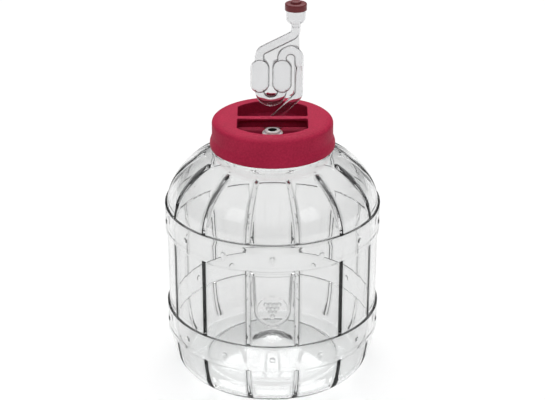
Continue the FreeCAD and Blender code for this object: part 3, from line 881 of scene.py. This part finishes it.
def bent_path(corners, bends, steps=9):
    """Points (x, z) along straight runs joined by arcs."""
    points = [np.array(corners[0], float)]
    for i, bend in enumerate(bends):
        here = np.array(corners[i + 1], float)
        before = np.array(corners[i], float) - here
        after = np.array(corners[i + 2], float) - here
        before /= np.linalg.norm(before)
        after /= np.linalg.norm(after)
        half = math.acos(np.clip(before @ after, -1, 1)) / 2
        middle = (before + after) / np.linalg.norm(before + after)
        centre = here + middle * bend / math.sin(half)
        start = here + before * bend / math.tan(half) - centre
        end = here + after * bend / math.tan(half) - centre
        sweep = math.pi - 2 * half
        for s in np.linspace(0, 1, steps):
            arc = math.sin((1 - s) * sweep) * start + math.sin(s * sweep) * end
            points.append(centre + arc / math.sin(sweep))
    points.append(np.array(corners[-1], float))
    return points


def u_path(x_from, x_to, bend_z, end_z, side, steps=25):
    """Points (x, z) of a half-circle bend with two straight legs."""
    radius = (x_to - x_from) / 2
    middle = (x_to + x_from) / 2
    turn = [np.array([middle - radius * math.cos(a), bend_z + side * radius * math.sin(a)])
            for a in np.linspace(0, math.pi, steps)]
    return [np.array([x_from, end_z]), *turn, np.array([x_to, end_z])]


def rod(name, path, radius, segments=40):
    """Closed round rod along a path in the airlock's plane."""
    path = np.array(path)
    step = np.gradient(path, axis=0)
    ahead = np.diff(path, axis=0)
    ahead /= np.linalg.norm(ahead, axis=1)[:, None]
    step[0] = ahead[0]
    step[-1] = ahead[-1]
    step[1:-1] = ahead[:-1] + ahead[1:]
    step /= np.linalg.norm(step, axis=1)[:, None]
    verts = []
    for i, (x, z) in enumerate(path):
        lean = 1.0
        if 0 < i < len(path) - 1:
            lean = 1 / max(0.5, float(step[i] @ ahead[i]))
        side = np.array([-step[i][1], step[i][0]]) * lean
        for a in np.linspace(0, 2 * math.pi, segments, endpoint=False):
            verts.append((x + radius * math.cos(a) * side[0], STOPPER_Y + radius * math.sin(a),
                          z + radius * math.cos(a) * side[1]))
    faces = grid_faces(len(path), segments)
    faces = [tuple(reversed(f)) for f in faces]
    last = (len(path) - 1) * segments
    faces.append(tuple(range(segments)))
    faces.append(tuple(reversed(range(last, last + segments))))
    return mesh_object(name, verts, faces)


def bubble(name, x, inset):
    """Rounded chamber of the airlock."""
    low = BUBBLE_LOW + inset
    high = BUBBLE_HIGH - inset
    r = BUBBLE_R - inset
    corners = [(0, low), (r, low), (r, high), (0, high)]
    bend = BUBBLE_ROUND - inset
    return lathe(name, rounded(corners, [0, bend, bend, 0], 12), x, STOPPER_Y, 72)


def cup(name, inset, top):
    """Cup at the airlock's top with its neck."""
    r = CUP_R - inset
    neck = CUP_NECK_R - inset
    corners = [(0, CUP_NECK_Z - 2), (neck, CUP_NECK_Z - 2), (neck, CUP_NECK_Z + 0.8),
               (r - 0.5, CUP_NECK_Z + 1.8 + inset / 2), (r - 0.2, CUP_NECK_Z + 9.6),
               (r, CUP_NECK_Z + 13.6), (r, top), (0, top)]
    return lathe(name, rounded(corners, [0, 0, 0.8, 6.0, 1.4, 2.0, 0, 0], 10), CUP_X, STOPPER_Y, 72)


def airlock_rods(inset):
    """Everything round in the airlock: its outside when inset is 0, its hollow when inset is the wall."""
    inside_low = BUBBLE_LOW + TUBE_WALL + TUBE_R
    inside_high = BUBBLE_HIGH - TUBE_WALL - TUBE_R
    knee_top = STEM_KNEE_Z + RIGHT_X
    tag = "hollow" if inset else "outer"
    # The hollow's lower bend sits a hair to one side, so that no two faces coincide in the booleans.
    nudge = 0.013 if inset else 0
    down = bent_path(
        [(CUP_X, CUP_NECK_Z + 1), (CUP_X, SLOPE_HIGH_Z), (LEFT_X, SLOPE_LOW_Z), (LEFT_X, inside_high)],
        [ELBOW_R, ELBOW_R])
    leg = bent_path(
        [(RIGHT_X, inside_high), (RIGHT_X, knee_top), (0, STEM_KNEE_Z), (0, STEM_LOW - inset)],
        [ELBOW_R, KNEE_R])
    bottom = u_path(LEFT_X + nudge, MIDDLE_X + nudge, U_BEND_Z, inside_low, -1)
    crown = u_path(MIDDLE_X, RIGHT_X, CROWN_BEND_Z, inside_high, 1)
    pieces = [
        bubble(tag + "_left", LEFT_X, inset),
        bubble(tag + "_right", MIDDLE_X, inset),
        rod(tag + "_down", down, TUBE_R - inset),
        rod(tag + "_bottom", bottom, TUBE_R - inset),
        rod(tag + "_crown", crown, TUBE_R - inset),
        rod(tag + "_leg", leg, STEM_R - inset),
        cup(tag + "_cup", inset, CUP_RIM_Z + inset),
    ]
    return pieces


def web_plate():
    """Flat plate that ties the airlock's tubes together."""
    corners = [(LEFT_X, WEB_LOW_Z), (CUP_X - TUBE_R, WEB_LOW_Z), (RIGHT_X, WEB_LOW_Z + TUBE_R),
               (RIGHT_X, SLOPE_HIGH_Z), (CUP_X, SLOPE_HIGH_Z), (LEFT_X, SLOPE_LOW_Z)]
    verts = [(x, STOPPER_Y + s * WEB_HALF, z) for s in (-1, 1) for x, z in corners]
    count = len(corners)
    faces = [tuple(range(count)), tuple(reversed(range(count, 2 * count)))]
    for j in range(count):
        k = (j + 1) % count
        faces.append((k, j, count + j, count + k))
    return mesh_object("web", verts, faces)


def make_airlock():
    """The clear airlock as one hollow mesh: both welded halves together."""
    outer = airlock_rods(0)
    lock = combine(outer[0], outer[1:] + [web_plate()], "UNION")
    hollow = airlock_rods(TUBE_WALL)
    space = combine(hollow[0], hollow[1:], "UNION")
    combine(lock, [space], "DIFFERENCE")
    lock.name = "airlock_body"
    lock.data.name = "airlock_body"
    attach(lock, "airlock")
    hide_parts("airlock_front_half", "airlock_back_half")
    for name, tint_a, tint_b in (("clear_plastic", (0.84, 0.84, 0.845), (0.88, 0.88, 0.885)),
                                 ("web_plastic", (0.76, 0.76, 0.765), (0.80, 0.80, 0.805))):
        lock.data.materials.append(clear_material(
            name, tint_a, tint_b, CLEAR_PLASTIC_IOR, (0.02, 0.06), 60.0, 0.03, (0.9, 0.9, 0.9),
            CLEAR_PLASTIC_DENSITY))
    # The flat web lies on both sides of the airlock's middle plane and looks greyer than the tubes.
    for face in lock.data.polygons:
        on_plate = abs(abs(face.center.y / MM - STOPPER_Y) - WEB_HALF) < 0.05
        if on_plate and abs(face.normal.y) > 0.95:
            face.material_index = 1
    return lock


# ---------------------------------------------------------------- stage

def make_floor():
    """Large round pale floor."""
    profile = [(r, -0.5) for r in (0, 200, 1500, 9000, 40000)] + [(40000, -40), (0, -40)]
    floor = lathe("floor", profile[::-1], segments=128)
    material, nodes, links, shader = new_material("floor_paper")
    fleck = noise_node(nodes, links, 6.0, 2.0)
    paper = ramp_node(
        nodes, links, fleck.outputs["Fac"], [(0.0, (0.90, 0.90, 0.90)), (1.0, (0.93, 0.93, 0.93))])
    links.new(paper.outputs["Color"], shader.inputs["Base Color"])
    shader.inputs["Roughness"].default_value = 0.8
    shader.inputs["Specular IOR Level"].default_value = 0.1
    floor.data.materials.append(material)


def make_world():
    """Soft studio dome: bright overhead, dim towards the horizon."""
    world = bpy.data.worlds.new("studio")
    bpy.context.scene.world = world
    world.use_nodes = True
    nodes = world.node_tree.nodes
    links = world.node_tree.links
    coords = nodes.new("ShaderNodeTexCoord")
    parts = nodes.new("ShaderNodeSeparateXYZ")
    links.new(coords.outputs["Generated"], parts.inputs["Vector"])
    ramp = ramp_node(nodes, links, parts.outputs["Z"], [
        (0.0, (0.10, 0.10, 0.102)), (0.40, (0.16, 0.16, 0.162)),
        (0.68, (1.0, 1.0, 1.0)), (1.0, (1.0, 1.0, 1.0))])
    links.new(ramp.outputs["Color"], nodes["Background"].inputs["Color"])
    nodes["Background"].inputs["Strength"].default_value = DOME_STRENGTH


def area_light(name, at, target, size, power):
    """Soft rectangular light aimed at a point."""
    data = bpy.data.lights.new(name, "AREA")
    data.shape = "RECTANGLE"
    data.size, data.size_y = size
    data.energy = power
    lamp = bpy.data.objects.new(name, data)
    lamp.location = at
    lamp.rotation_euler = (Vector(target) - Vector(at)).to_track_quat("-Z", "Y").to_euler()
    bpy.context.scene.collection.objects.link(lamp)


def sun_light(name, elevation, power, spread):
    """Very soft sun from behind the jar, with its height and spread in degrees."""
    data = bpy.data.lights.new(name, "SUN")
    data.energy = power
    data.angle = math.radians(spread)
    lamp = bpy.data.objects.new(name, data)
    up = math.radians(elevation)
    lamp.rotation_euler = Vector((0, -math.cos(up), -math.sin(up))).to_track_quat("-Z", "Y").to_euler()
    bpy.context.scene.collection.objects.link(lamp)


def make_camera():
    """Camera in front, 25 degrees above the jar."""
    data = bpy.data.cameras.new("camera")
    data.lens = LENS
    data.sensor_width = SENSOR_WIDTH
    camera = bpy.data.objects.new("camera", data)
    camera.location = (0, -VIEW_DISTANCE * math.cos(VIEW_ELEVATION),
                       VIEW_HEIGHT + VIEW_DISTANCE * math.sin(VIEW_ELEVATION))
    camera.rotation_euler = (math.pi / 2 - VIEW_ELEVATION, 0, 0)
    bpy.context.scene.collection.objects.link(camera)
    bpy.context.scene.camera = camera


def set_look():
    """Colour management and light paths."""
    scene = bpy.context.scene
    scene.view_settings.view_transform = "Standard"
    scene.view_settings.look = "None"
    cycles = scene.cycles
    cycles.max_bounces = 24
    cycles.transmission_bounces = 20
    cycles.transparent_max_bounces = 16
    cycles.glossy_bounces = 6
    cycles.diffuse_bounces = 4
    cycles.caustics_refractive = True
    cycles.caustics_reflective = True
    cycles.blur_glossy = 0.3
    cycles.use_denoising = True
    cycles.sample_clamp_indirect = 6.0


make_camera()
make_world()
set_look()
make_floor()
sun_light("rear_key", KEY_ELEVATION, KEY_POWER, KEY_SPREAD)
area_light("left_softbox", (-1.6, -1.5, 1.9), (0, 0, 0.2), SOFTBOX_SIZE, SOFTBOX_POWER)
area_light("right_softbox", (1.6, -1.5, 1.9), (0, 0, 0.2), SOFTBOX_SIZE, SOFTBOX_POWER)

make_jar()
make_lid()
make_gasket()
rubber = moulded_material(
    "stopper_rubber", (0.60, 0.56, 0.555), (0.68, 0.64, 0.635), 0.45, 800.0, 0.03, coat=0.1, subsurface=0.15)
# Near-black painted shadow for the stoppers' bores
bore_shadow_paint = moulded_material("stopper_bore_painted_shadow", (0.012, 0.011, 0.011), (0.022, 0.020, 0.020), 0.7, 800.0, 0.03)
make_stopper("front_ring", -STOPPER_Y, "lid", "front_stopper", rubber, bore_shadow_paint)
make_stopper("rear_ring", STOPPER_Y, "stopper", "rear_stopper", rubber, bore_shadow_paint)
make_airlock()
make_cap()
